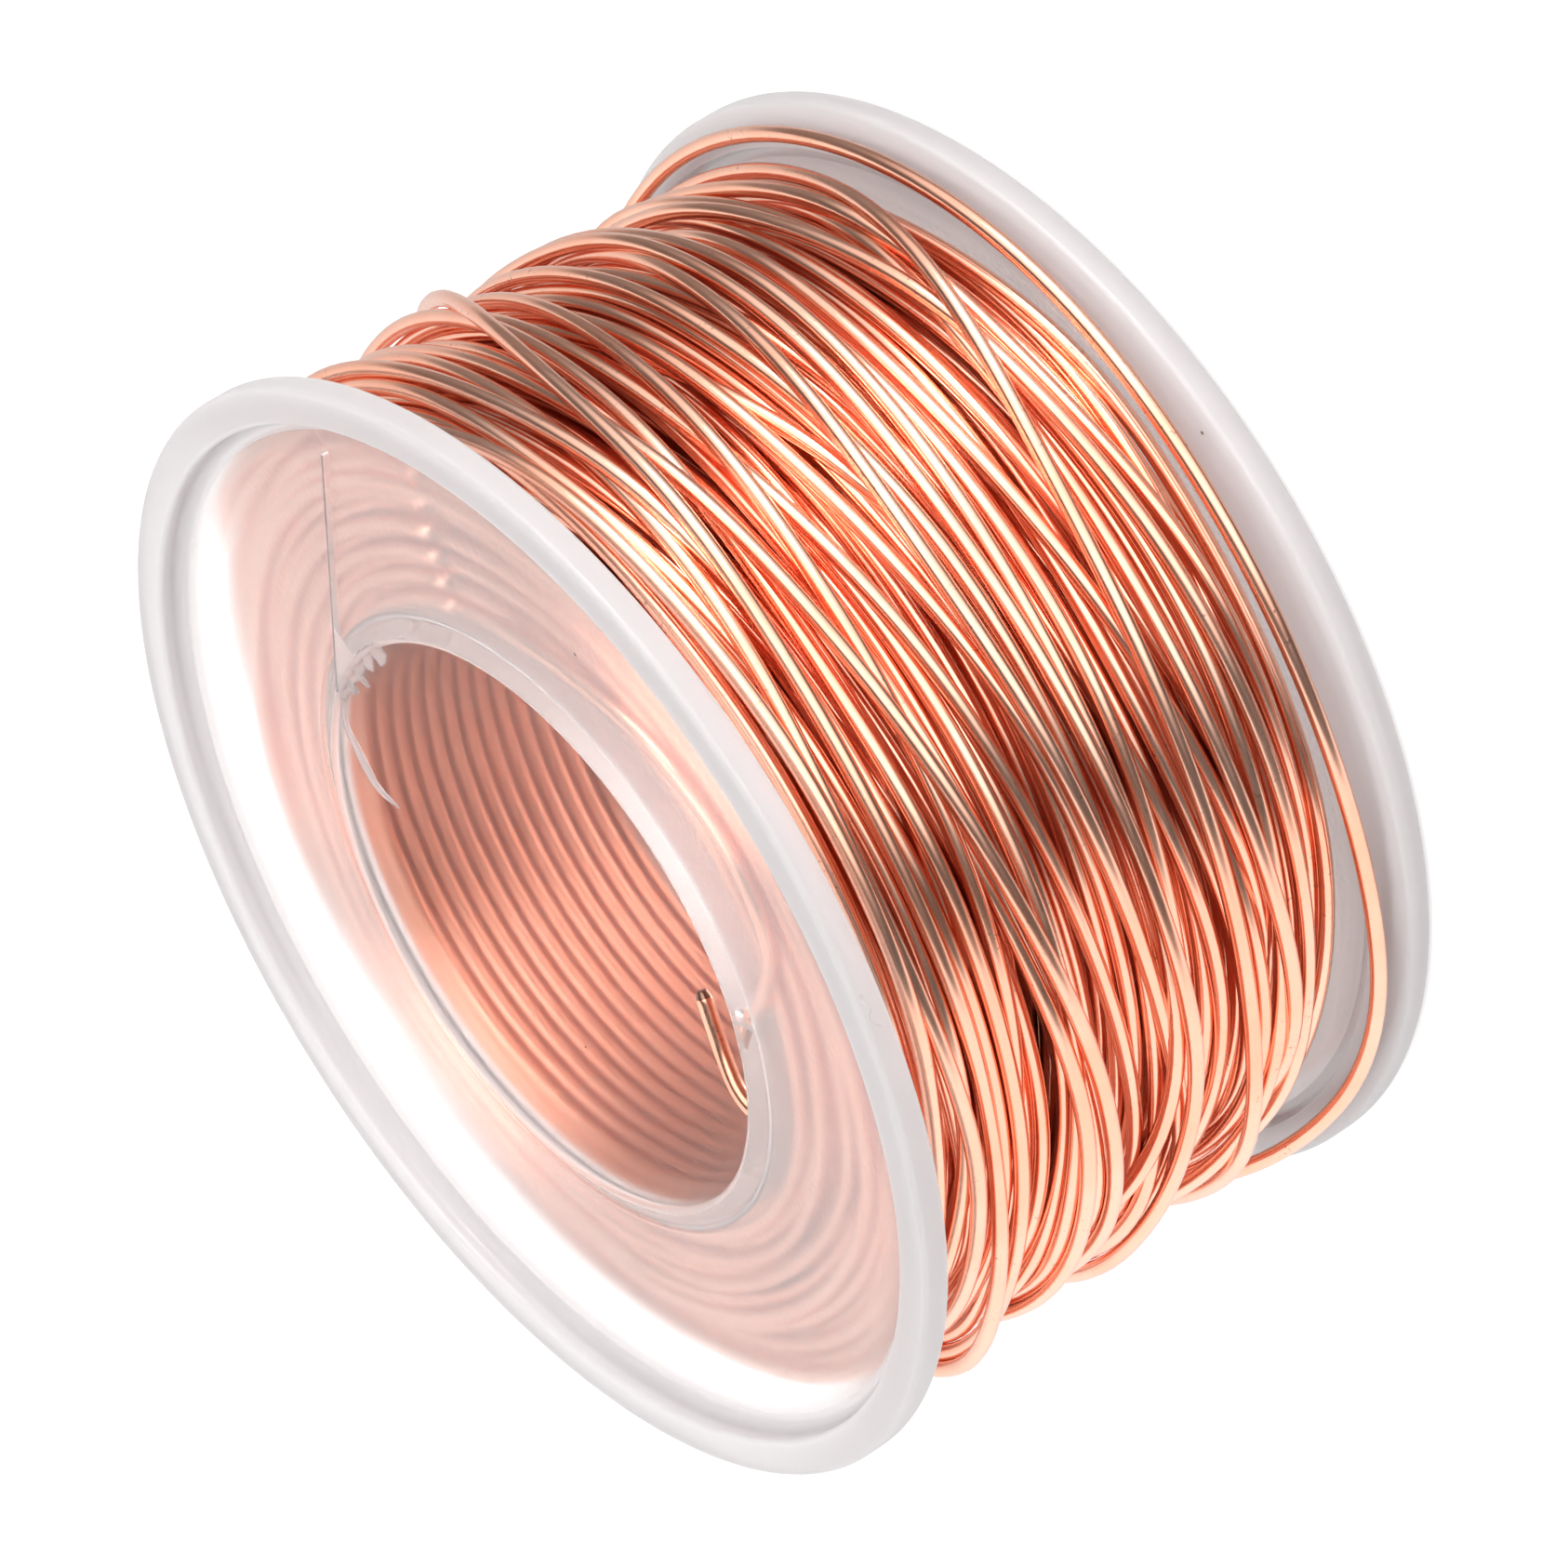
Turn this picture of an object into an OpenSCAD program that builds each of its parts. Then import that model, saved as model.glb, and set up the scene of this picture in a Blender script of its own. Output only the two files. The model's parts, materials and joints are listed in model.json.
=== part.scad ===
// Hollow two-piece wire spool wound with bare copper wire, standing on its rear flange.
// The origin is the centre of the rear rim, +Z runs along the bore towards the front flange.

/* [Spool] */
// Outer diameter of both flanges
flange_d = 72; // [64:1:90]
// Overall width between the two rim planes
spool_w = 39; // [34:1:60]
// Diameter of the open bore
bore_d = 37.4; // [24:0.2:40]
// Wall thickness of the hollow core
core_wall = 1.4; // [1:0.1:2]

/* [Flange] */
// Thickness of the thin web between core and rim
web_t = 1.2; // [0.8:0.1:1.6]
// Height of the raised rim above the outer face of the web
rim_h = 1.6; // [0.8:0.1:2.4]
// Radial width of the raised rim
rim_w = 2.4; // [1.6:0.1:4]
// Height of the outer edge of the rim
rim_edge_t = 1.9; // [1.2:0.1:2.6]

/* [Wire] */
// Diameter of the bare wire
wire_d = 1.02; // [0.6:0.01:1.1]
// Radial depth of the whole winding
wind_depth = 14.3; // [8:0.1:14.8]
// Room left at the front flange for the slack of the start
start_gap = 1.1; // [1.1:0.1:3]

/* [Wire start] */
// Angle of the hole that the wire start comes through
start_angle = 236.5; // [200:0.5:270]
// Diameter of that hole in the core wall
start_hole_d = 1.6; // [1.3:0.1:2]

/* [Slit] */
// Width of the slit in the front flange
slit_w = 0.3; // [0.2:0.1:0.8]
// Length of the slit
slit_len = 19.5; // [8:0.5:20]

/* [Joint between the halves] */
// Length of the lap joint inside the core
lap_len = 4; // [2:0.5:8]
// Radial play of the lap joint
lap_play = 0.03; // [0.02:0.01:0.06]
// Open groove left in the bore between the end of the inner sleeve and its shoulder
lap_groove = 1; // [0.6:0.1:1.4]

/* [Hidden] */

$fn = 96;
plastic = [0.90, 0.86, 0.86, 0.6];
copper = "#d98260";

flange_r = flange_d / 2;
bore_r = bore_d / 2;
core_r = bore_r + core_wall;
wire_r = wire_d / 2;

web_out = rim_h;                 // outer face of the rear web
web_in = rim_h + web_t;          // inner face of the rear web
mid_w = spool_w / 2;
lap_r = (bore_r + core_r) / 2;   // where the two walls of the lap joint meet
seam_gap = 0.1;                  // axial play at both shoulders of the lap joint
lap_root = 1;                    // how far the inner sleeve is rooted in its own half

edge_r = 0.4;                    // rounding of the rim edges
rim_fillet = (rim_h - edge_r) * 0.8; // hollow between the rim and the web's outer face
mouth_r = 0.4;                   // rounding of the bore mouth
root_r = 0.6;                    // fillet between core and web
arc_steps = 6;

cut_extra = 1;                   // how far a cutting tool reaches past what it cuts

wind_bottom = web_in;                       // lowest wire surface
wind_top = spool_w - web_in - start_gap;    // highest wire surface
layer_count = 13;
layer_step = wind_depth / layer_count;

// An arc of points about (cx, cy) from angle a0 to angle a1.
function arc_points(cx, cy, r, a0, a1) =
    [for (i = [0 : arc_steps]) let (a = a0 + (a1 - a0) * i / arc_steps)
        [cx + r * cos(a), cy + r * sin(a)]];

// Outline of one flange and the core stub it carries, outer face at y = 0.
function half_outline(stub_len) = concat(
    arc_points(bore_r + mouth_r, web_out + mouth_r, mouth_r, 180, 270),
    arc_points(flange_r - rim_w - rim_fillet, web_out - rim_fillet, rim_fillet, 90, 0),
    arc_points(flange_r - rim_w + edge_r, edge_r, edge_r, 180, 270),
    arc_points(flange_r - edge_r, edge_r, edge_r, 270, 360),
    arc_points(flange_r - edge_r, rim_edge_t - edge_r, edge_r, 0, 60),
    [[flange_r - rim_w, web_in]],
    arc_points(core_r + root_r, web_in + root_r, root_r, 270, 180),
    [[core_r, stub_len], [bore_r, stub_len]]);

module flange_half(stub_len) {
    rotate_extrude() polygon(half_outline(stub_len));
}

module start_hole() {
    rotate([0, 0, start_angle])
        translate([bore_r - 2 * cut_extra, 0, start_hole_z])
            rotate([0, 90, 0])
                cylinder(d = start_hole_d, h = core_wall + 4 * cut_extra, $fn = 32);
}

// A straight split that starts at the bore edge and runs nearly tangent to it.
slit_from = [18.0, 6.0];
slit_turn = -54.4;

module slit() {
    translate([slit_from[0], slit_from[1], spool_w - web_in - cut_extra])
        rotate([0, 0, slit_turn])
            translate([0, -slit_w / 2, 0])
                cube([slit_len, slit_w, web_t + 2 * cut_extra]);
}

// Front flange, its half of the core, and the inner sleeve of the lap joint.
module front_half() {
    color(plastic)
        difference() {
            union() {
                translate([0, 0, spool_w])
                    mirror([0, 0, 1])
                        flange_half(mid_w - seam_gap / 2);
                translate([0, 0, mid_w - lap_len + lap_groove])
                    difference() {
                        cylinder(r = lap_r - lap_play, h = lap_len - lap_groove + lap_root);
                        translate([0, 0, -cut_extra])
                            cylinder(r = bore_r, h = lap_len + lap_root + 2 * cut_extra);
                    }
            }
            start_hole();
            slit();
        }
}

// Rear flange, its half of the core, and the outer sleeve of the lap joint.
module rear_half() {
    color(plastic)
        difference() {
            flange_half(mid_w - seam_gap / 2);
            translate([0, 0, mid_w - lap_len])
                cylinder(r = lap_r, h = lap_len + cut_extra);
        }
}

// A closed tube of the wire's diameter swept along a list of points.
ring_sides = 8;

function unit(v) = v / norm(v);

function tangent(path, i) =
    unit(path[min(i + 1, len(path) - 1)] - path[max(i - 1, 0)]);

function ring(centre, along) =
    let (side = unit(cross(along, abs(along[2]) < 0.9 ? [0, 0, 1] : [1, 0, 0])),
        up = cross(side, along))
    [for (k = [0 : ring_sides - 1]) let (a = 360 * k / ring_sides)
        centre + wire_r * (cos(a) * side + sin(a) * up)];

module wire_tube(path) {
    last = len(path) - 1;
    points = [for (i = [0 : last]) for (p = ring(path[i], tangent(path, i))) p];
    first_cap = [for (k = [0 : ring_sides - 1]) ring_sides - 1 - k];
    last_cap = [for (k = [0 : ring_sides - 1]) last * ring_sides + k];
    sides = [for (i = [0 : last - 1]) for (k = [0 : ring_sides - 1])
        let (n = (k + 1) % ring_sides, a = i * ring_sides, b = a + ring_sides)
        for (t = [[a + k, a + n, b + n], [a + k, b + n, b + k]]) t];
    polyhedron(points = points, faces = concat([first_cap], sides, [last_cap]));
}

// A smooth curve through hand-placed points (Catmull-Rom).
function spline_at(p, i, t) =
    let (a = p[max(i - 1, 0)], b = p[i], c = p[i + 1], d = p[min(i + 2, len(p) - 1)])
    0.5 * (2 * b + (c - a) * t + (2 * a - 5 * b + 4 * c - d) * t * t
        + (3 * b - a - 3 * c + d) * t * t * t);

function spline(p, steps) = concat(
    [for (i = [0 : len(p) - 2]) for (s = [0 : steps - 1]) spline_at(p, i, s / steps)],
    [p[len(p) - 1]]);

// The start lies in the gap under the front flange and hooks back inside the bore.
start_hole_z = spool_w - web_in - 0.9;
start_z = start_hole_z + 0.05;
start_route = [
    [-8.0, -7.5, start_z - 1.4],
    [-9.9, -7.0, start_z - 1.1],
    [-12.0, -6.5, start_z - 0.8],
    [-14.0, -6.6, start_z - 0.4],
    [-15.5, -7.2, start_z - 0.3],
    [-15.8, -8.6, start_z - 0.2],
    [-14.4, -10.8, start_z - 0.1],
    [-12.3, -12.9, start_z],
    [-10.8, -16.2, start_z],
    [-9.8, -19.3, start_z + 0.2],
    [-7.4, -23.2, start_z + 0.25],
    [-2.0, -25.2, start_z + 0.25],
    [5.0, -24.0, start_z + 0.25],
    [11.0, -20.0, start_z + 0.2],
    [15.5, -15.0, start_z + 0.2],
    [19.0, -10.5, start_z + 0.2]];
route_steps = 5;                 // rings per stretch between two points of a route

module wire_start() {
    color(copper) wire_tube(spline(start_route, route_steps));
}

// One wound layer, drawn as the room its turns take up.
module wound_layer(i) {
    inner = core_r + (i - 1) * layer_step;
    color(copper)
        translate([0, 0, wind_bottom])
            difference() {
                cylinder(r = inner + layer_step, h = wind_top - wind_bottom);
                translate([0, 0, -cut_extra])
                    cylinder(r = inner, h = wind_top - wind_bottom + 2 * cut_extra);
            }
}

// The last turn lies loose over the outermost layer and runs in against the rear flange.
// Each entry holds an angle, a radius and a height.
finish_r = core_r + wind_depth + wire_r + 0.05;
finish_bow = 0.45;                          // how far the slack part bows outwards
finish_z = wind_bottom + wire_r + 0.1;
finish_route = [
    [100, finish_r, finish_z + 7],
    [125, finish_r, finish_z + 5.2],
    [150, finish_r, finish_z + 3.4],
    [172, finish_r, finish_z + 1.9],
    [190, finish_r, finish_z + 0.8],
    [204, finish_r + finish_bow, finish_z + 0.1],
    [217, finish_r + finish_bow, finish_z],
    [230, finish_r, finish_z + 0.2],
    [245, finish_r, finish_z + 0.9],
    [260, finish_r, finish_z + 0.8],
    [275, finish_r, finish_z + 0.7],
    [290, finish_r, finish_z + 0.2],
    [306, finish_r, finish_z],
    [330, finish_r, finish_z + 0.1],
    [360, finish_r, finish_z + 0.4],
    [390, finish_r, finish_z + 1.6],
    [415, finish_r, finish_z + 3]];

function from_polar(p) = [p[1] * cos(p[0]), p[1] * sin(p[0]), p[2]];

module wire_finish() {
    color(copper) wire_tube([for (p = spline(finish_route, route_steps)) from_polar(p)]);
}

front_half();
rear_half();
wire_start();
wound_layer(1);  // layer_01
wound_layer(2);  // layer_02
wound_layer(3);  // layer_03
wound_layer(4);  // layer_04
wound_layer(5);  // layer_05
wound_layer(6);  // layer_06
wound_layer(7);  // layer_07
wound_layer(8);  // layer_08
wound_layer(9);  // layer_09
wound_layer(10);  // layer_10
wound_layer(11);  // layer_11
wound_layer(12);  // layer_12
wound_layer(13);  // layer_13
wire_finish();
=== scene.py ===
import json
import math

import bmesh
import bpy
import numpy as np
from mathutils import Matrix, Vector

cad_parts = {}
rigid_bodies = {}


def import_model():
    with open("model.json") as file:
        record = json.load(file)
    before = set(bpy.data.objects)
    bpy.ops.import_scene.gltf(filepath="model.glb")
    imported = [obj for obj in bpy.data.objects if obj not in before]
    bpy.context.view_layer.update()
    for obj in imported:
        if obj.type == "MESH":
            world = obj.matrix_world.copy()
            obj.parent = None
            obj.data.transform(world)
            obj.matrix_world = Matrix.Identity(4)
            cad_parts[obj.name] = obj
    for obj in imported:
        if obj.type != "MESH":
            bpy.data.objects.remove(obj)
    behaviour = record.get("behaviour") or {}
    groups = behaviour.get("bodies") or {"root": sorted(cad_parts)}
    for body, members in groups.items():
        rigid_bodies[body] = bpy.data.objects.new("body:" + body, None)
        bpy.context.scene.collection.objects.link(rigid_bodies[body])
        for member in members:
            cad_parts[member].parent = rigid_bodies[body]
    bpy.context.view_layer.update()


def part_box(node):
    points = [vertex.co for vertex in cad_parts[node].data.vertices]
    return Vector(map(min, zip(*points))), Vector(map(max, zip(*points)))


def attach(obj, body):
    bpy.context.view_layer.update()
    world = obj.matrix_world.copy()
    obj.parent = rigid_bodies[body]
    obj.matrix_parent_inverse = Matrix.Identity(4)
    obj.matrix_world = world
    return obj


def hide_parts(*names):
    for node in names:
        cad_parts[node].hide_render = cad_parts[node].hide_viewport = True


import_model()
mm = 0.001

# driving sizes in mm; the outer ones are read from the frame
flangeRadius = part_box("rear_half")[1][0] / mm
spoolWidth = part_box("front_half")[1][2] / mm
spool = {
    "bore": 18.7,          # radius of the open bore
    "core": 20.1,          # radius that the wire is wound on
    "web": 1.2,            # thickness of the web
    "coreEnd": 19.45,      # where the core of each half ends, from its own rim plane
    "rimHeight": 1.6,      # how far the rim stands out from the web
    "rimWidth": 2.4,
    "rimEdge": 1.9,        # height of the outermost edge
    "rimFillet": 0.96,     # rounding in the hollow between rim and web
    "edge": 0.4,           # rounding of the rim's edges
    "mouth": 0.4,          # rounding of the bore's mouth
    "root": 0.6,           # rounding between web and core
    "slitFrom": (18.0, 6.0),
    "slitTurn": -54.4,     # degrees
    "slitLength": 19.5,
    "slitWidth": 0.14,
    "holeAngle": 236.5,    # degrees
    "holeRadius": 0.65,
    "holeDrop": 0.9,       # from the inner face of the web to the middle of the hole
    "steps": 288,          # steps round the bore axis
    "crease": 28,          # degrees; sharper turns of the cut surface are not shaded smooth
}
webIn = spool["rimHeight"] + spool["web"]

camera = {
    "place": (-0.0005, -0.4018, 0.2192),
    "forward": (0.0, 0.89478, -0.44650),
    "up": (0.84680, -0.23750, -0.47594),
    "lens": 174.14,
}


def makeCamera():
    data = bpy.data.cameras.new("camera")
    data.lens = camera["lens"]
    data.sensor_width = 36
    data.clip_start = 0.01
    data.clip_end = 20
    obj = bpy.data.objects.new("camera", data)
    bpy.context.collection.objects.link(obj)
    back = -Vector(camera["forward"]).normalized()
    up = Vector(camera["up"]).normalized()
    right = up.cross(back).normalized()
    up = back.cross(right)
    turn = Matrix((right, up, back)).transposed()
    obj.matrix_world = Matrix.Translation(camera["place"]) @ turn.to_4x4()
    bpy.context.scene.camera = obj
    return right, up, back


camRight, camUp, camBack = makeCamera()


def fromCamera(right, up, back):
    return camRight * right + camUp * up + camBack * back


print("camera made")


def newObject(name, mesh):
    obj = bpy.data.objects.new(name, mesh)
    bpy.context.collection.objects.link(obj)
    return obj


def addPiece(name, mesh, materials, node=None):
    for material in materials:
        mesh.materials.append(material)
    obj = newObject(name, mesh)
    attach(obj, "root")
    if node:
        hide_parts(node)


# a mesh from an array of rows and columns of points
def gridMesh(name, grid, wrapRows=False, capEnds=False):
    rows, cols = grid.shape[:2]
    lastRow = rows if wrapRows else rows - 1
    r, c = np.meshgrid(np.arange(lastRow), np.arange(cols), indexing="ij")
    r1, c1 = (r + 1) % rows, (c + 1) % cols
    quads = np.stack([r * cols + c, r * cols + c1, r1 * cols + c1, r1 * cols + c], -1).reshape(-1, 4)
    mesh = bpy.data.meshes.new(name)
    mesh.vertices.add(rows * cols)
    mesh.vertices.foreach_set("co", grid.reshape(-1).astype(np.float32))
    corner = quads.reshape(-1)
    starts = np.arange(len(quads)) * 4
    totals = np.full(len(quads), 4)
    if capEnds:
        last = (rows - 1) * cols + np.arange(cols)
        corner = np.concatenate([corner, np.arange(cols)[::-1], last])
        starts = np.concatenate([starts, [len(quads) * 4, len(quads) * 4 + cols]])
        totals = np.concatenate([totals, [cols, cols]])
    mesh.loops.add(len(corner))
    mesh.loops.foreach_set("vertex_index", corner.astype(np.int32))
    mesh.polygons.add(len(starts))
    mesh.polygons.foreach_set("loop_start", starts.astype(np.int32))
    mesh.polygons.foreach_set("loop_total", totals.astype(np.int32))
    mesh.update(calc_edges=True)
    mesh.validate()
    smooth = np.ones(len(mesh.polygons), dtype=bool)
    smooth[len(quads):] = False     # the end caps stay flat
    mesh.polygons.foreach_set("use_smooth", smooth)
    return mesh


# materials
def newMaterial(name):
    mat = bpy.data.materials.new(name)
    mat.use_nodes = True
    return mat, mat.node_tree, mat.node_tree.nodes["Principled BSDF"]


def noiseNode(tree, vector, scale, detail=3.0, rough=0.5):
    node = tree.nodes.new("ShaderNodeTexNoise")
    node.inputs["Scale"].default_value = scale
    node.inputs["Detail"].default_value = detail
    node.inputs["Roughness"].default_value = rough
    tree.links.new(vector, node.inputs["Vector"])
    return node.outputs["Fac"]


def rangeNode(tree, value, fromLow, fromHigh, toLow, toHigh, kind="LINEAR"):
    node = tree.nodes.new("ShaderNodeMapRange")
    node.interpolation_type = kind
    ends = {"From Min": fromLow, "From Max": fromHigh, "To Min": toLow, "To Max": toHigh}
    for name, number in ends.items():
        node.inputs[name].default_value = number
    tree.links.new(value, node.inputs["Value"])
    return node.outputs["Result"]


def mixNode(tree, factor, first, second):
    node = tree.nodes.new("ShaderNodeMix")
    node.data_type = "RGBA"
    tree.links.new(factor, node.inputs["Factor"])
    for name, colour in (("A", first), ("B", second)):
        if isinstance(colour, tuple):
            node.inputs[name].default_value = colour
        else:
            tree.links.new(colour, node.inputs[name])
    return node.outputs["Result"]


def mathNode(tree, operation, *values):
    node = tree.nodes.new("ShaderNodeMath")
    node.operation = operation
    for i, value in enumerate(values):
        if isinstance(value, (int, float)):
            node.inputs[i].default_value = value
        else:
            tree.links.new(value, node.inputs[i])
    return node.outputs[0]


def bumpNode(tree, shader, height, strength, distance):
    node = tree.nodes.new("ShaderNodeBump")
    node.inputs["Strength"].default_value = strength
    node.inputs["Distance"].default_value = distance
    tree.links.new(height, node.inputs["Height"])
    tree.links.new(node.outputs["Normal"], shader.inputs["Normal"])


# place in the object, and angle, radius and height about the bore axis
def aroundAxis(tree):
    coord = tree.nodes.new("ShaderNodeTexCoord").outputs["Object"]
    split = tree.nodes.new("ShaderNodeSeparateXYZ")
    tree.links.new(coord, split.inputs[0])
    x, y, z = split.outputs
    square = mathNode(tree, "ADD", mathNode(tree, "MULTIPLY", x, x), mathNode(tree, "MULTIPLY", y, y))
    return coord, mathNode(tree, "ARCTAN2", y, x), mathNode(tree, "SQRT", square), z


copperLook = {
    "fresh": (0.97, 0.55, 0.41, 1),
    "warm": (0.96, 0.46, 0.31, 1),
    "dull": (0.42, 0.25, 0.19, 1),
    "cut": (0.20, 0.10, 0.07, 1),
    "roughness": (0.18, 0.26),
    "markStretch": 0.0016,     # length of the drawing marks along the wire
    "markScale": 5200,
}


def copperMaterial(name, fresh, warm):
    mat, tree, shader = newMaterial(name)
    coord, angle, radius, height = aroundAxis(tree)
    joined = tree.nodes.new("ShaderNodeCombineXYZ")     # drawing marks lie along the wire
    tree.links.new(mathNode(tree, "MULTIPLY", angle, copperLook["markStretch"]), joined.inputs[0])
    tree.links.new(radius, joined.inputs[1])
    tree.links.new(height, joined.inputs[2])
    along = joined.outputs[0]
    shade = noiseNode(tree, coord, 110, 4)
    marks = noiseNode(tree, along, copperLook["markScale"], 2)
    freckle = noiseNode(tree, coord, 2600, 2, 0.7)
    patch = noiseNode(tree, coord, 160, 2)
    tint = mixNode(tree, rangeNode(tree, shade, 0.35, 0.7, 0, 1), fresh, warm)
    spots = mathNode(tree, "MULTIPLY", rangeNode(tree, freckle, 0.62, 0.72, 0, 0.75),
                     rangeNode(tree, patch, 0.5, 0.62, 0.1, 1))
    tree.links.new(mixNode(tree, spots, tint, copperLook["dull"]), shader.inputs["Base Color"])
    low, high = copperLook["roughness"]
    tree.links.new(rangeNode(tree, marks, 0.3, 0.7, low, high), shader.inputs["Roughness"])
    bumpNode(tree, shader, mathNode(tree, "ADD", marks, spots), 0.25, 0.00001)
    shader.inputs["Metallic"].default_value = 1
    return mat


plasticLook = {
    "ior": 1.49,
    # painted shade: the web turns a darker grey towards the rim, between these two radii in mm
    "paintedShadeFrom": 31.0,
    "paintedShadeTo": 32.8,
    "paintedShadeGrey": (0.77, 0.735, 0.735, 1),
    "scatter": (1.0, 0.95, 0.95),
    "scatterDepth": 0.002,
    "rimFrom": 32.5,       # beyond this radius in mm the plastic is rim
    # thicker places look milkier: colour, cloudier colour, share that passes through, roughness; the
    # pink of the core, mouth and (faintly) web colours is painted glow of the copper behind the
    # plastic
    "places": {
        "core": ((1.0, 0.885, 0.855, 1), (0.99, 0.87, 0.84, 1), 0.985, (0.40, 0.48)),
        "web": ((0.97, 0.94, 0.94, 1), (0.955, 0.92, 0.92, 1), 0.90, (0.14, 0.19)),
        # painted shade: the rim colours are a darker grey than the rest of the plastic
        "rim": ((0.70, 0.675, 0.68, 1), (0.68, 0.655, 0.66, 1), 0.50, (0.30, 0.38)),
        "mouth": ((0.99, 0.80, 0.77, 1), (0.97, 0.775, 0.745, 1), 0.72, (0.30, 0.38)),
    },
}


def plasticMaterial(place):
    mat, tree, shader = newMaterial("frostedPlastic" + place.capitalize())
    look = plasticLook
    coord, _, radius, _ = aroundAxis(tree)
    haze = noiseNode(tree, coord, 70, 3)
    grain = noiseNode(tree, coord, 2400, 2)
    clear, cloudy, passes, (low, high) = look["places"][place]
    # painted copper glow: the core, mouth and web colours are tinted pink
    tint = mixNode(tree, haze, clear, cloudy)
    # painted shade: towards the rim the web colour turns darker grey
    if place == "web":
        outer = rangeNode(tree, radius, look["paintedShadeFrom"] * mm, look["paintedShadeTo"] * mm, 0, 1)
        tint = mixNode(tree, outer, tint, look["paintedShadeGrey"])
    tree.links.new(tint, shader.inputs["Base Color"])
    tree.links.new(rangeNode(tree, haze, 0.3, 0.7, low, high), shader.inputs["Roughness"])
    bumpNode(tree, shader, grain, 0.12, 0.00002)
    shader.inputs["Transmission Weight"].default_value = passes
    shader.inputs["IOR"].default_value = look["ior"]
    shader.inputs["Subsurface Weight"].default_value = 1
    shader.inputs["Subsurface Radius"].default_value = look["scatter"]
    shader.inputs["Subsurface Scale"].default_value = look["scatterDepth"]
    return mat


copper = copperMaterial("bareCopper", copperLook["fresh"], copperLook["warm"])
dullCopper = copperMaterial("cutCopper", copperLook["cut"], copperLook["dull"])
plastics = {place: plasticMaterial(place) for place in plasticLook["places"]}
print("materials made")


winding = {
    "wire": 1.02,          # thickness of the wire
    "low": 2.8,            # the wire lies between these two heights
    "high": 35.1,
    "startAngle": 330,     # degrees
    "perTurn": 144,        # points in one turn
    "cell": 0.1,           # width of one cell of the bed
    "seed": 5,
    "pull": 60,            # passes that pull the wire taut
    "soften": 30,          # passes that take out kinks
    "blendIn": 0.7,        # share of a turn over which a new layer takes up its own course
    "slip": 0.12,          # how far a wire slips sideways off a crest, in wire diameters
    "feel": 0.15,          # half width over which it feels the crest, in mm
    "feelWide": 1.6,       # half width over which it feels a hump in the layers below
    "frontward": 0.95,     # below 1 the outer layers crowd towards the front flange
    "outerFrom": 9,        # the first outer layer, counted from 0
    "proud": 0.2,          # how far the outermost turns may stand beyond the flanges
    "proudEase": 0.4,      # depth over which they are held back
    # one entry for each layer: turns, passes, wander (mm), sway (mm), slides, avoidance of high spots
    "layers": [
        (26, 1, 0.0, 0.05, 3, 0), (26, 1, 0.1, 0.10, 4, 0), (26, 1, 0.1, 0.15, 4, 0),
        (26, 1, 0.15, 0.2, 4, 0), (26, 1, 0.2, 0.2, 4, 0), (26, 1, 0.3, 0.25, 4, 0),
        (25, 1, 0.4, 0.3, 4, 0), (25, 1, 0.5, 0.3, 4, 0.05), (24, 1, 0.7, 0.4, 4, 0.1),
        (23, 1, 0.9, 0.5, 4, 0.2), (21, 1, 1.3, 0.6, 4, 0.3), (17, 2, 1.9, 0.8, 4, 0.35),
        (13.361, 3, 2.5, 1.0, 4, 0.4),
    ],
}

# the last loose turn: angle, and radius and height beyond the two values above the list
finishRadius = 34.96
finishHeight = 3.41
finishRoute = [
    (100, 0, 7), (125, 0, 5.2), (150, 0, 3.4), (172, 0, 1.9), (190, 0, 0.8),
    (204, 0.45, 0.1), (217, 0.45, 0), (230, 0, 0.2), (245, 0, 0.9), (260, 0, 0.8),
    (275, 0, 0.7), (290, 0, 0.2), (306, 0, 0), (330, 0, 0.1),
    (360, -0.4, 0.4), (390, -1.4, 1.6), (415, -2.5, 3),
]

# the start: from the tip in the bore, through the hole, to the first turn
startRoute = [
    (-8.0, -7.5, 33.95), (-9.9, -7.0, 34.25), (-12.0, -6.5, 34.55), (-14.0, -6.6, 34.95),
    (-15.5, -7.2, 35.05), (-15.8, -8.6, 35.15), (-14.4, -10.8, 35.25), (-12.3, -12.9, 35.35),
    (-10.8, -16.2, 35.35), (-9.8, -19.3, 35.55), (-7.4, -23.2, 35.6), (-2.0, -25.2, 35.6),
    (5.0, -24.0, 35.6), (11.0, -20.0, 35.55), (15.5, -15.0, 35.3), (17.85, -10.3, 34.6),
]


# a moving average with a bell-shaped weight
def smoothed(values, reach):
    weight = np.hanning(2 * reach + 3)[1:-1]
    return np.convolve(np.pad(values, reach, mode="edge"), weight / weight.sum(), "valid")


# a smooth curve through given points
def smoothRoute(points, steps):
    p = np.array(points, dtype=float)
    p = np.concatenate([[2 * p[0] - p[1]], p, [2 * p[-1] - p[-2]]])
    out = []
    for i in range(1, len(p) - 2):
        for t in np.arange(steps) / steps:
            a, b, c, d = p[i - 1:i + 3]
            out.append(0.5 * (2 * b + (c - a) * t + (2 * a - 5 * b + 4 * c - d) * t * t
                              + (3 * b - a - 3 * c + d) * t ** 3))
    out.append(p[-2])
    return np.array(out)


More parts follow.
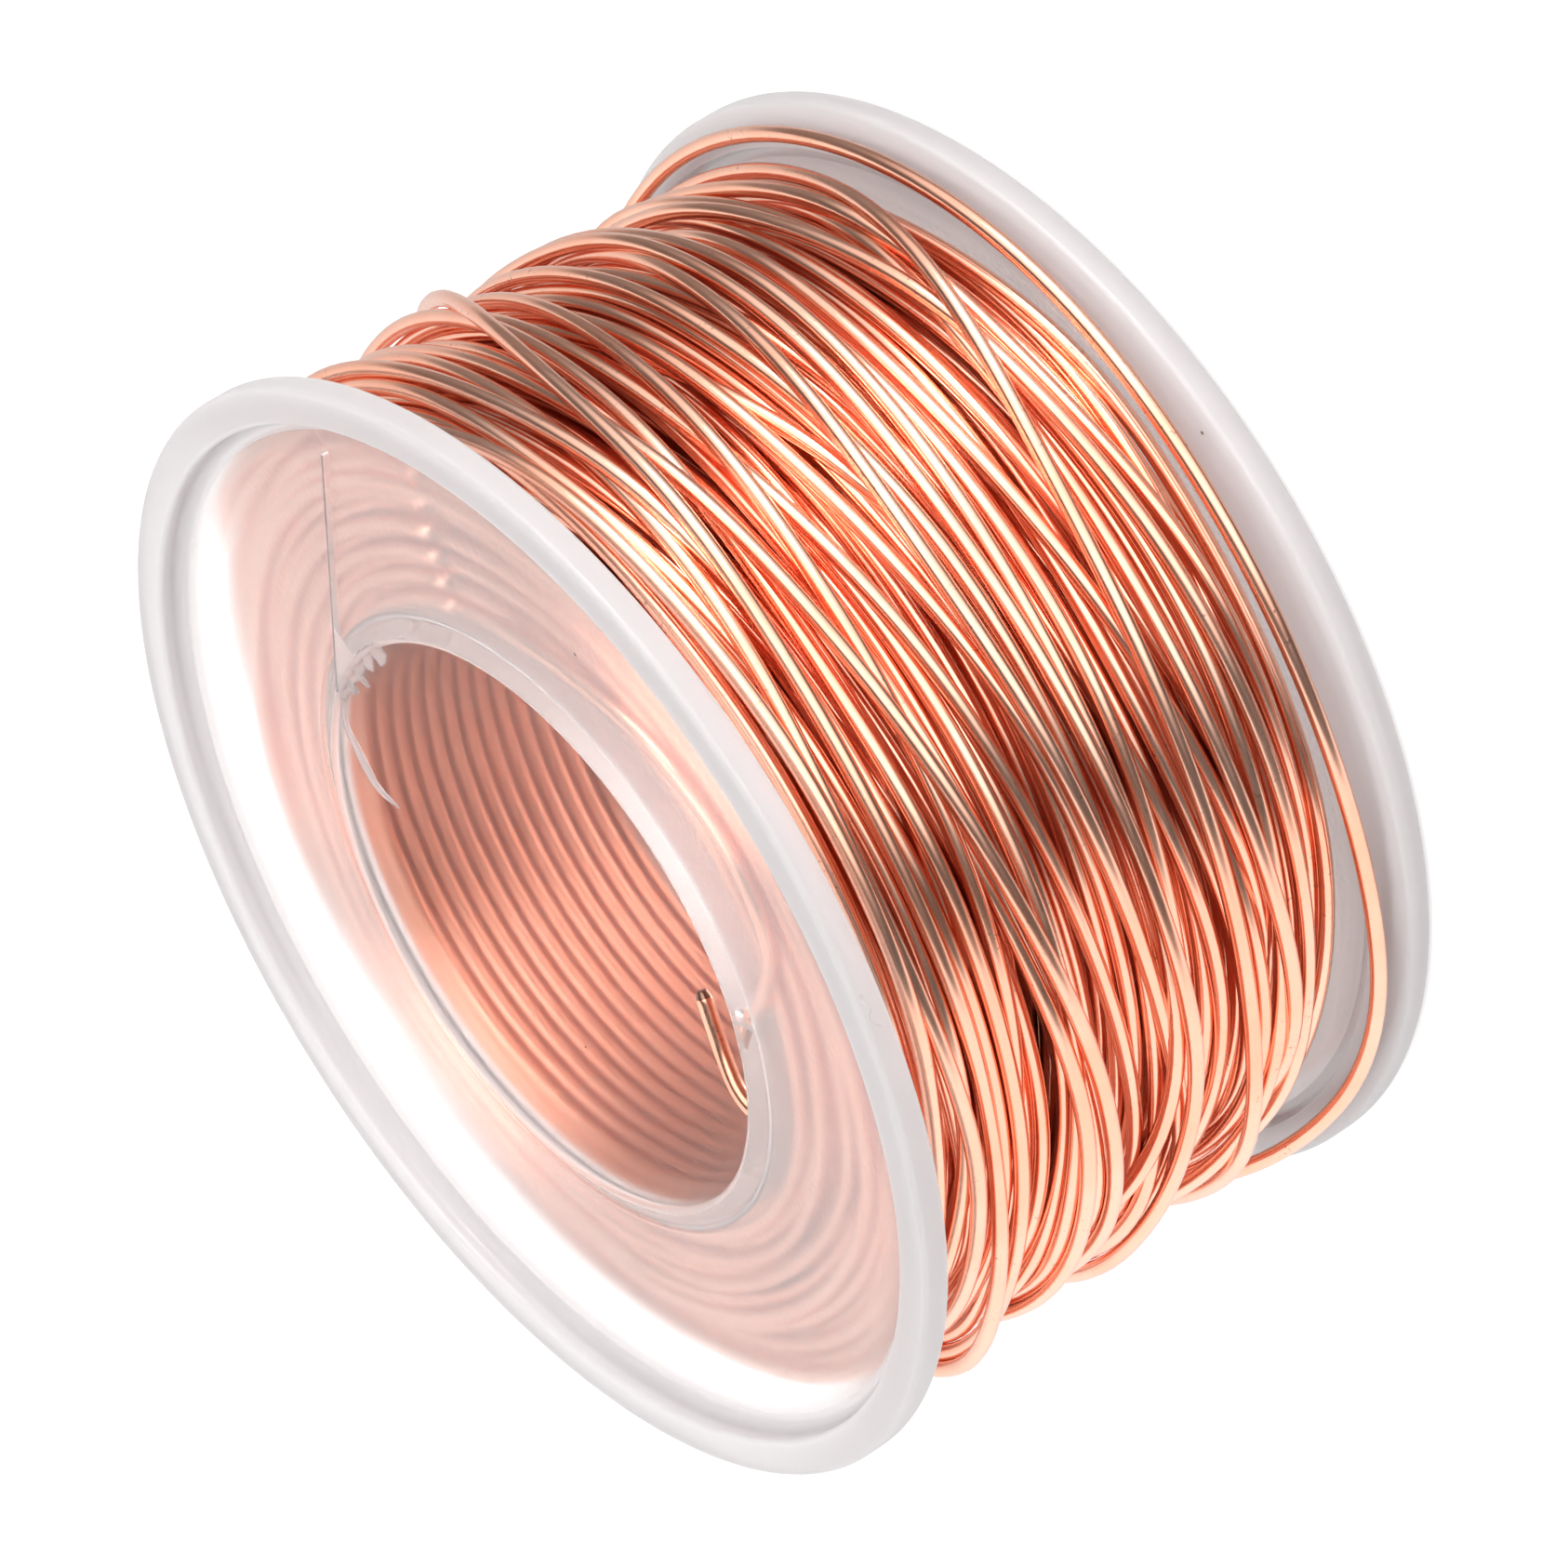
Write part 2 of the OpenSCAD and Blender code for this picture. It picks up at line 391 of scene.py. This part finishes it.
# lays the wire turn by turn on a bed that remembers how high the turns below stand
def windWire(w):
    rng = np.random.default_rng(w["seed"])
    n = w["perTurn"]
    d = w["wire"]
    half = d / 2
    low, high = w["low"] + half, w["high"] - half
    cells = int(round((high - low) / w["cell"])) + 1
    grid = np.linspace(low, high, cells)
    step = grid[1] - grid[0]
    bed = np.full((n, cells), spool["core"] + half)   # where the next wire's centre would rest
    reach = int(np.ceil(d / step))
    offsets = np.arange(-reach, reach + 1)
    cosStep = math.cos(2 * math.pi / n)
    look = n // 4           # how far ahead of a piece the wire is already aimed
    piece = n // 4          # the wire goes on a quarter turn at a time
    feel, wide = w["feel"], w["feelWide"]
    tail = 12               # points of laid wire that the next piece carries on from

    def bedAt(k, z):
        f = np.clip((z - low) / step, 0, cells - 1.001)
        i = f.astype(int)
        t = f - i
        return bed[k % n, i] * (1 - t) + bed[k % n, i + 1] * t

    allZ, allR, layerEnds = [], [], []
    tailZ = np.full(tail, high)
    tailR = np.full(tail, spool["core"] + half)
    k0 = 0
    away = -1.0
    for number, (turns, passes, wander, sway, slides, shy) in enumerate(w["layers"]):
        steps = int(turns * n)
        s = np.clip(np.arange(steps + look) / steps, 0, 1) * passes
        tri = np.abs((s + (0 if away < 0 else 1)) % 2 - 1)      # 1 -> 0 -> 1 ...
        if number >= w["outerFrom"]:
            tri = tri ** w["frontward"]
        if passes % 2:
            away = -away
        ang = (k0 + np.arange(steps + look)) / n
        loose = sum(size * np.sin(2 * math.pi * (rate * ang + rng.random()))
                    for rate, size in ((0.88, 1.0), (1.27, 0.7), (1.9, 0.35), (0.31, 0.6)))
        lean = 0                    # turns that tilt alike, slowly changing from turn to turn
        for m in (1, 2, 3):
            phase = 2 * math.pi * (m * ang + rng.random())
            lean = lean + np.sin(phase + 0.8 * np.sin(ang / 1.3 + 6 * rng.random())) / m
        aim = low + (high - low) * tri + wander * loose + sway * lean
        aim = low + np.abs(aim - low)
        aim = high - np.abs(high - aim)
        if number == len(w["layers"]) - 1:      # the last stretch runs into the loose turn
            ease = np.clip((np.arange(steps + look) - steps + n / 2) / (n / 2), 0, 1)
            aim += (finishHeight + finishRoute[0][2] - aim) * ease * ease * (3 - 2 * ease)
        ease = np.clip(1 - np.arange(steps + look) / (w["blendIn"] * n), 0, 1)
        aim += (tailZ[-1] - aim[0]) * ease * ease * (3 - 2 * ease)
        aim = smoothed(np.clip(aim, low, high), 14)
        for t in range(0, steps, piece):
            m = min(piece, steps - t)
            z = aim[t:t + m + look].copy()
            k = k0 + np.arange(len(z))
            z += (tailZ[-1] - z[0]) * np.exp(-np.arange(len(z)) * 5 / n)
            for _ in range(slides):
                slope = (bedAt(k, z + feel) - bedAt(k, z - feel)) / (2 * feel)
                hump = smoothed((bedAt(k, z + wide) - bedAt(k, z - wide)) / (2 * wide), 12)
                z = z - w["slip"] * d * np.tanh(1.2 * slope) - shy * np.tanh(2 * hump)
                z = smoothed(np.concatenate([tailZ, z]), 9)[tail:]
                z += (2 * tailZ[-1] - tailZ[-2] - z[0]) * np.exp(-np.arange(len(z)) * 12 / n)
                z = np.clip(z, low, high)
            rest = bedAt(k, z)
            r = rest.copy()
            for _ in range(w["pull"]):          # a taut wire never dips below a straight chord
                before = np.concatenate([tailR[-1:], r[:-1]])
                after = np.concatenate([r[1:], r[-1:]])
                r = np.maximum(rest, 2 * before * after * cosStep / (before + after))
            for _ in range(w["soften"]):        # and it is too stiff to kink
                p = np.concatenate([tailR[-2:], r, [r[-1], r[-1]]])
                soft = (p[:-4] + 4 * p[1:-3] + 6 * p[2:-2] + 4 * p[3:-1] + p[4:]) / 16
                r = np.maximum(soft, rest - 0.03 * d)
            z, r, k = z[:m], r[:m], k[:m]
            allZ.append(z)
            allR.append(r)
            cols = np.round((z - low) / step).astype(int)[:, None] + offsets[None, :]
            inside = (cols >= 0) & (cols < cells)
            cols = np.clip(cols, 0, cells - 1)
            gap = np.abs(grid[cols] - z[:, None])
            dome = r[:, None] + np.sqrt(np.maximum(d * d - gap * gap, 0))
            lift = np.where((gap < d) & inside, dome, 0)
            np.maximum.at(bed, (np.repeat((k % n)[:, None], cols.shape[1], 1), cols), lift)
            tailZ = np.concatenate([tailZ, z])[-tail:]
            tailR = np.concatenate([tailR, r])[-tail:]
            k0 += m
        layerEnds.append(k0)

    # the loose turn rests on what lies below it, or stands clear at its own radius
    route = smoothRoute(finishRoute, 24) + np.array([0, finishRadius, finishHeight])
    angles = np.arange(route[0, 0], route[-1, 0], 360 / n)
    z = np.interp(angles, route[:, 0], route[:, 2])
    free = np.interp(angles, route[:, 0], route[:, 1])
    k = k0 + np.arange(len(angles))
    r = np.maximum(bedAt(k, z), free)
    join = np.clip(np.arange(len(r)) / 14, 0, 1)
    r = allR[-1][-1] + (r - allR[-1][-1]) * join * join * (3 - 2 * join)
    z = smoothed(np.concatenate(allZ + [z]), 10)
    r = smoothed(np.concatenate(allR + [r]), 5)
    most = flangeRadius - half + w["proud"]
    ease = w["proudEase"]
    r = np.where(r > most - ease, most - ease * np.exp(-(r - most + ease) / ease), r)
    return z, r, layerEnds


def unitRows(v):
    return v / np.linalg.norm(v, axis=1)[:, None]


# two directions across the wire at every point of its line
def acrossLine(line, outward):
    ahead = unitRows(np.gradient(line, axis=0))
    side = unitRows(np.cross(ahead, outward))
    return np.cross(side, ahead), side


def tubeMesh(name, line, across, radius, sides):
    up, side = across
    a = (np.arange(sides) * 2 * math.pi / sides)[None, :, None]
    ring = np.cos(a) * up[:, None, :] + np.sin(a) * side[:, None, :]
    radius = np.broadcast_to(radius, len(line))[:, None, None]
    return gridMesh(name, line[:, None, :] + ring * radius, capEnds=True)


def makeWinding():
    zs, rs, ends = windWire(winding)
    n = winding["perTurn"]
    wireRadius = winding["wire"] / 2 * mm
    angle = math.radians(winding["startAngle"]) + np.arange(len(zs)) * 2 * math.pi / n
    line = np.stack([rs * np.cos(angle), rs * np.sin(angle), zs], 1) * mm
    up, side = acrossLine(line, np.stack([np.cos(angle), np.sin(angle), np.zeros(len(zs))], 1))
    start = 0
    for i, end in enumerate(ends + [len(zs)]):
        last = i == len(ends)
        fine = i >= len(ends) - 4
        stop = min(end, len(zs) - 1)
        pick = np.append(np.arange(start, stop, 1 if fine else 2), stop)
        name = "loose_last_turn" if last else "turns_layer_%02d" % (i + 1)
        node = "wire_finish" if last else "layer_%02d" % (i + 1)
        sides = 16 if last else 12 if fine else 8
        mesh = tubeMesh(name, line[pick], (up[pick], side[pick]), wireRadius, sides)
        addPiece(name, mesh, [copper], node)
        start = stop
    length = np.linalg.norm(np.diff(line, axis=0), axis=1).sum()
    print("winding: %.1f m, outermost radius %.2f mm" % (length, rs.max() + winding["wire"] / 2))


# the cutters left the tip narrow and dull
nippedEnd = {
    "radii": (0.55, 0.72, 0.86, 0.95),
    "dull": 0.75,
}


def makeStart():
    line = smoothRoute(startRoute, 12) * mm
    up, side = acrossLine(line, np.tile([0.05, 0.02, 1.0], (len(line), 1)))
    radius = np.full(len(line), winding["wire"] / 2 * mm)
    radius[:len(nippedEnd["radii"])] *= nippedEnd["radii"]
    mesh = tubeMesh("wireStart", line, (up, side), radius, 16)
    addPiece("wire_start_tail", mesh, [copper, dullCopper], "wire_start")
    for face in mesh.polygons:
        if (face.center - Vector(line[0])).length < nippedEnd["dull"] * mm:
            face.material_index = 1


makeWinding()
makeStart()
print("wire made")


def arc(cx, cy, r, a0, a1, steps=10):
    a = np.radians(np.linspace(a0, a1, steps + 1))
    return np.stack([cx + r * np.cos(a), cy + r * np.sin(a)], 1)


# outline of one half as radius and height from its own rim plane
def halfOutline():
    s = spool
    rimIn = flangeRadius - s["rimWidth"]
    return np.concatenate([
        arc(s["bore"] + s["mouth"], s["rimHeight"] + s["mouth"], s["mouth"], 180, 270),
        np.array([[22.0, s["rimHeight"]], [26.0, s["rimHeight"]], [30.0, s["rimHeight"]]]),
        arc(rimIn - s["rimFillet"], s["rimHeight"] - s["rimFillet"], s["rimFillet"], 90, 0),
        arc(rimIn + s["edge"], s["edge"], s["edge"], 180, 270),
        arc(flangeRadius - s["edge"], s["edge"], s["edge"], 270, 360),
        arc(flangeRadius - s["edge"], s["rimEdge"] - s["edge"], s["edge"], 0, 60),
        np.array([[rimIn, webIn], [30.0, webIn], [25.0, webIn]]),
        arc(s["core"] + s["root"], webIn + s["root"], s["root"], 270, 180),
        np.array([[s["core"], 12.0], [s["core"], s["coreEnd"]]]),
        np.array([[s["bore"], s["coreEnd"]], [s["bore"], 12.0], [s["bore"], 6.0]]),
    ])


def latheMesh(name, outline, flip):
    a = np.arange(spool["steps"]) * 2 * math.pi / spool["steps"]
    r = outline[:, 0][None, :]
    z = outline[:, 1][None, :]
    if flip:
        z = spoolWidth - z
    z = np.broadcast_to(z, (len(a), len(outline)))
    grid = np.stack([r * np.cos(a)[:, None], r * np.sin(a)[:, None], z], 2) * mm
    # flipping turns the faces over, so the other half takes its outline backwards
    return gridMesh(name, grid if flip else grid[:, ::-1], wrapRows=True)


def boxMesh(name, low, high):
    bm = bmesh.new()
    bmesh.ops.create_cube(bm, size=1)
    for v in bm.verts:
        v.co = [(a + b) / 2 + c * (b - a) for a, b, c in zip(low, high, v.co)]
    mesh = bpy.data.meshes.new(name)
    bm.to_mesh(mesh)
    bm.free()
    return mesh


def rodMesh(name, radius, length, sides=32):
    a = np.arange(sides) * 2 * math.pi / sides
    ends = [np.stack([np.full(sides, x), radius * np.cos(a), radius * np.sin(a)], 1)
            for x in (0, length)]
    return gridMesh(name, np.array(ends), capEnds=True)


# cuts a tool's shape out of a mesh and returns the new mesh
def cutMesh(mesh, tools):
    body = newObject("cutBody", mesh)
    for toolMesh, matrix in tools:
        tool = newObject("cutTool", toolMesh)
        tool.matrix_world = matrix
        cut = body.modifiers.new("cut", "BOOLEAN")
        cut.operation = "DIFFERENCE"
        cut.solver = "EXACT"
        cut.object = tool
    bpy.context.view_layer.update()
    result = bpy.data.meshes.new_from_object(body.evaluated_get(bpy.context.evaluated_depsgraph_get()))
    for obj in [o for o in bpy.data.objects if o.name.startswith("cutTool")] + [body]:
        bpy.data.objects.remove(obj)
    return result


# the slit goes through the web, the hole through the core just under it
def frontCuts():
    s = spool
    webFace = spoolWidth - webIn
    side = s["slitWidth"] / 2 * mm
    near = (0, -side, (webFace - 1) * mm)
    far = (s["slitLength"] * mm, side, (spoolWidth - 1) * mm)
    slit = boxMesh("slitTool", near, far)
    place = Matrix.Translation((s["slitFrom"][0] * mm, s["slitFrom"][1] * mm, 0))
    place = place @ Matrix.Rotation(math.radians(s["slitTurn"]), 4, "Z")
    hole = rodMesh("holeTool", s["holeRadius"] * mm, 6 * mm)
    drill = Matrix.Rotation(math.radians(s["holeAngle"]), 4, "Z")
    drill = drill @ Matrix.Translation(((s["bore"] - 2) * mm, 0, (webFace - s["holeDrop"]) * mm))
    return [(slit, place), (hole, drill)]


def makeHalf(name, node, flip):
    mesh = latheMesh(name, halfOutline(), flip)
    if flip:
        mesh = cutMesh(mesh, frontCuts())
        mesh.name = name
        mesh.set_sharp_from_angle(angle=math.radians(spool["crease"]))
    addPiece(name, mesh, list(plastics.values()), node)
    places = list(plastics)
    for face in mesh.polygons:
        radius = math.hypot(face.center.x, face.center.y) / mm
        deep = webIn < face.center.z / mm < spoolWidth - webIn
        nearBore = radius < spool["core"] + 0.1
        inner = "mouth" if nearBore and not deep else "core" if nearBore else "web"
        place = "rim" if radius > plasticLook["rimFrom"] else inner
        face.material_index = places.index(place)


makeHalf("front_spool_half", "front_half", True)
makeHalf("rear_spool_half", "rear_half", False)
print("spool halves made")


flash = {
    "level": 37.05,            # height, just under the outer face of the front web
    "from": 19.5,              # the torn stretch of the bore edge, in degrees
    "to": -6.0,
    "rows": 64,
    "thick": 0.16,
    "outer": 19.15,            # radius where it joins the sound plastic
    "inner": 18.75,            # radius that the ragged edge reaches in from
    # tongues that reach further in: angle, width and reach
    "tongues": [(8.5, 1.6, 1.1), (-3.8, 1.4, 0.9), (14, 2.2, 0.4), (2, 1.5, 0.5)],
    # outline of the strip that peels off into the bore
    "stripLeft": [
        (17.8, 6.6), (16.3, 8.4), (14.9, 9.2), (13.7, 9.9), (12.5, 10.4), (11.5, 10.5), (10.5, 10.1)],
    "stripRight": [
        (17.5, 6.1), (16.4, 7.8), (14.8, 8.4), (13.5, 9.0), (12.4, 9.6), (11.5, 9.9), (10.4, 10.0)],
    "stripDrop": 0.9,
    "seed": 3,
}


# a thin flake between two edges; each row is a closed ring of five points above and five below
def flakeMesh(name, left, right, level, thick, rough, rng):
    rows = []
    for i, (a, b) in enumerate(zip(left, right)):
        across = np.linspace(0, 1, 5)[:, None]
        line = np.array(a) * (1 - across) + np.array(b) * across
        lift = level[i] + rng.normal(0, rough, 5)
        half = thick * (0.5 + 0.5 * np.sin(math.pi * np.linspace(0.12, 0.88, 5))) / 2
        top = np.column_stack([line, lift + half])
        under = np.column_stack([line, lift - half])[::-1]
        rows.append(np.concatenate([top, under]))
    return gridMesh(name, np.array(rows) * mm, capEnds=True)


def makeFlash():
    rng = np.random.default_rng(flash["seed"])
    angles = np.radians(np.linspace(flash["from"], flash["to"], flash["rows"]))
    degrees = np.degrees(angles)
    reach = 0.25 + 0.35 * np.abs(np.sin(degrees * 0.8)) * rng.random(len(angles))
    for middle, width, most in flash["tongues"]:
        reach += most * np.exp(-((degrees - middle) / width) ** 2)
    reach += rng.normal(0, 0.09, len(angles))
    outer = flash["outer"] + rng.normal(0, 0.05, len(angles))
    inner = flash["inner"] - reach
    left = np.stack([outer * np.cos(angles), outer * np.sin(angles)], 1)
    right = np.stack([inner * np.cos(angles), inner * np.sin(angles)], 1)
    level = flash["level"] + 0.15 * np.sin(degrees * 1.1) + rng.normal(0, 0.06, len(angles))
    # the torn pieces take the mouth plastic, with its pink painted copper glow
    addPiece("torn_bore_edge", flakeMesh("tornEdge", left, right, level, flash["thick"], 0.05, rng),
             [plastics["mouth"]])
    left = smoothRoute(flash["stripLeft"], 5)
    right = smoothRoute(flash["stripRight"], 5)
    level = flash["level"] - flash["stripDrop"] * np.linspace(0, 1, len(left)) ** 2
    addPiece("torn_strip", flakeMesh("tornStrip", right, left, level, flash["thick"], 0.01, rng),
             [plastics["mouth"]])


# small dark inclusions: place and size
specks = {
    "spots": [
        (11.7, -24.1, 37.4, 0.10), (-7.6, 17.1, 31.0, 0.09), (3.7, -35.1, 2.35, 0.11),
        (14.0, -31.2, 2.75, 0.10), (-25.5, -8.2, 37.4, 0.07), (-4.5, -30.4, 37.42, 0.06),
    ],
    "dark": (0.10, 0.07, 0.07, 1),
    "pale": (0.20, 0.15, 0.14, 1),
    "seed": 11,
}


def speckMaterial():
    mat, tree, shader = newMaterial("darkSpeck")
    coord = tree.nodes.new("ShaderNodeTexCoord").outputs["Object"]
    grain = noiseNode(tree, coord, 9000, 2)
    tree.links.new(mixNode(tree, grain, specks["dark"], specks["pale"]), shader.inputs["Base Color"])
    shader.inputs["Roughness"].default_value = 0.6
    return mat


def makeSpecks():
    rng = np.random.default_rng(specks["seed"])
    bm = bmesh.new()
    for x, y, z, size in specks["spots"]:
        made = bmesh.ops.create_icosphere(bm, subdivisions=2, radius=1)["verts"]
        for v in made:
            across = size * (1 + 0.25 * rng.normal())
            v.co = Vector((x + v.co.x * across, y + v.co.y * across, z + v.co.z * size * 0.4)) * mm
    mesh = bpy.data.meshes.new("specks")
    bm.to_mesh(mesh)
    bm.free()
    addPiece("mould_specks", mesh, [speckMaterial()])


hair = {
    "route": [
        (-12.4, -33.9, 38.5), (-12.6, -34.5, 38.9), (-13.2, -34.9, 38.85), (-13.5, -34.6, 39.0),
        (-13.9, -34.2, 38.9), (-14.4, -34.3, 38.6)],
    "radius": 0.045,
}


def makeHair():
    line = smoothRoute(hair["route"], 8) * mm
    across = acrossLine(line, np.tile([0.3, 0.5, 0.8], (len(line), 1)))
    mesh = tubeMesh("flashHair", line, across, hair["radius"] * mm, 6)
    # the hair takes the rim plastic and its painted shade grey
    addPiece("rim_flash_hair", mesh, [plastics["rim"]])


makeFlash()
makeSpecks()
makeHair()
print("flash, specks and hair made")


floorLook = {
    "colour": (0.55, 0.55, 0.55, 1),
    "glow": 0.52,
    "drop": 0.0002,
}


def makeFloor():
    bm = bmesh.new()
    bmesh.ops.create_grid(bm, x_segments=1, y_segments=1, size=6)
    mesh = bpy.data.meshes.new("floor")
    bm.to_mesh(mesh)
    bm.free()
    mat, tree, shader = newMaterial("paleFloor")
    shader.inputs["Base Color"].default_value = floorLook["colour"]
    shader.inputs["Roughness"].default_value = 0.6
    shader.inputs["Emission Color"].default_value = (1, 1, 1, 1)
    shader.inputs["Emission Strength"].default_value = floorLook["glow"]
    mesh.materials.append(mat)
    obj = newObject("floor", mesh)
    obj.location.z = -floorLook["drop"]
    obj.visible_glossy = False      # polished wire mirrors the studio around it instead


def areaLight(name, direction, distance, size, power):
    data = bpy.data.lights.new(name, "AREA")
    data.shape = "RECTANGLE"
    data.size, data.size_y = size
    data.energy = power
    obj = bpy.data.objects.new(name, data)
    bpy.context.collection.objects.link(obj)
    towards = direction.normalized()
    obj.location = Vector((0, 0, spoolWidth / 2 * mm)) + towards * distance
    obj.rotation_mode = "QUATERNION"
    obj.rotation_quaternion = towards.to_track_quat("Z", "Y")


# directions are right, up and back from the camera; edges are how far along a direction one
# brightness passes into the next
studio = {
    "above": (0.0, 0.686, 0.728),
    "near": (0.0, -0.728, 0.686),
    "table": 1.3,
    "farTable": 0.45,
    "tableDepth": (-0.9, 0.1),
    "tableEdge": (-0.06, 0.04),
    "room": 0.15,
    "farRoom": 0.28,
    "roomDepth": (-0.9, -0.2),
    "ceiling": 2.6,
    "farCeiling": 1.0,
    "ceilingDepth": (-0.4, 0.7),
    "ceilingEdge": (0.42, 0.74),
}


# a white table below, a dim room round it and a bright ceiling
def makeWorld():
    world = bpy.data.worlds.new("studio")
    bpy.context.scene.world = world
    world.use_nodes = True
    tree = world.node_tree
    direction = tree.nodes.new("ShaderNodeTexCoord").outputs["Generated"]

    def along(axis):
        dot = tree.nodes.new("ShaderNodeVectorMath")
        dot.operation = "DOT_PRODUCT"
        tree.links.new(direction, dot.inputs[0])
        dot.inputs[1].default_value = fromCamera(*axis).normalized()
        return dot.outputs["Value"]

    look = studio
    height, near = along(look["above"]), along(look["near"])
    table = rangeNode(tree, near, *look["tableDepth"], look["farTable"], look["table"])
    room = rangeNode(tree, near, *look["roomDepth"], look["farRoom"], look["room"], "SMOOTHSTEP")
    ceiling = rangeNode(tree, near, *look["ceilingDepth"], look["farCeiling"], look["ceiling"])
    isTable = rangeNode(tree, height, *look["tableEdge"], 1, 0, "SMOOTHSTEP")
    isCeiling = rangeNode(tree, height, *look["ceilingEdge"], 0, 1, "SMOOTHSTEP")
    level = mathNode(tree, "ADD", mathNode(tree, "MULTIPLY", ceiling, isCeiling), room)
    level = mathNode(tree, "ADD", mathNode(tree, "MULTIPLY", table, isTable), level)
    background = tree.nodes["Background"]
    background.inputs["Color"].default_value = (1, 1, 1, 1)
    tree.links.new(level, background.inputs["Strength"])


# direction, distance from the middle of the spool, size and power
lamps = {
    "keySoftbox": (fromCamera(-0.1, 1.0, 0.75), 0.9, (0.45, 0.45), 8),
    "fillFromFront": (fromCamera(-0.6, -0.15, 0.8), 1.2, (1.0, 1.0), 9),
    "tableBehindBore": (Vector((0, 0, -1)), spoolWidth / 2 * mm, (0.026, 0.026), 0.009),
}

makeFloor()
makeWorld()
for name, lamp in lamps.items():
    areaLight(name, *lamp)
bpy.data.objects["fillFromFront"].visible_glossy = False
bpy.data.objects["tableBehindBore"].visible_camera = False
scene = bpy.context.scene
scene.view_settings.view_transform = "Standard"
scene.cycles.max_bounces = 20
scene.cycles.transmission_bounces = 20
scene.cycles.glossy_bounces = 8
print("floor, lights and studio made")
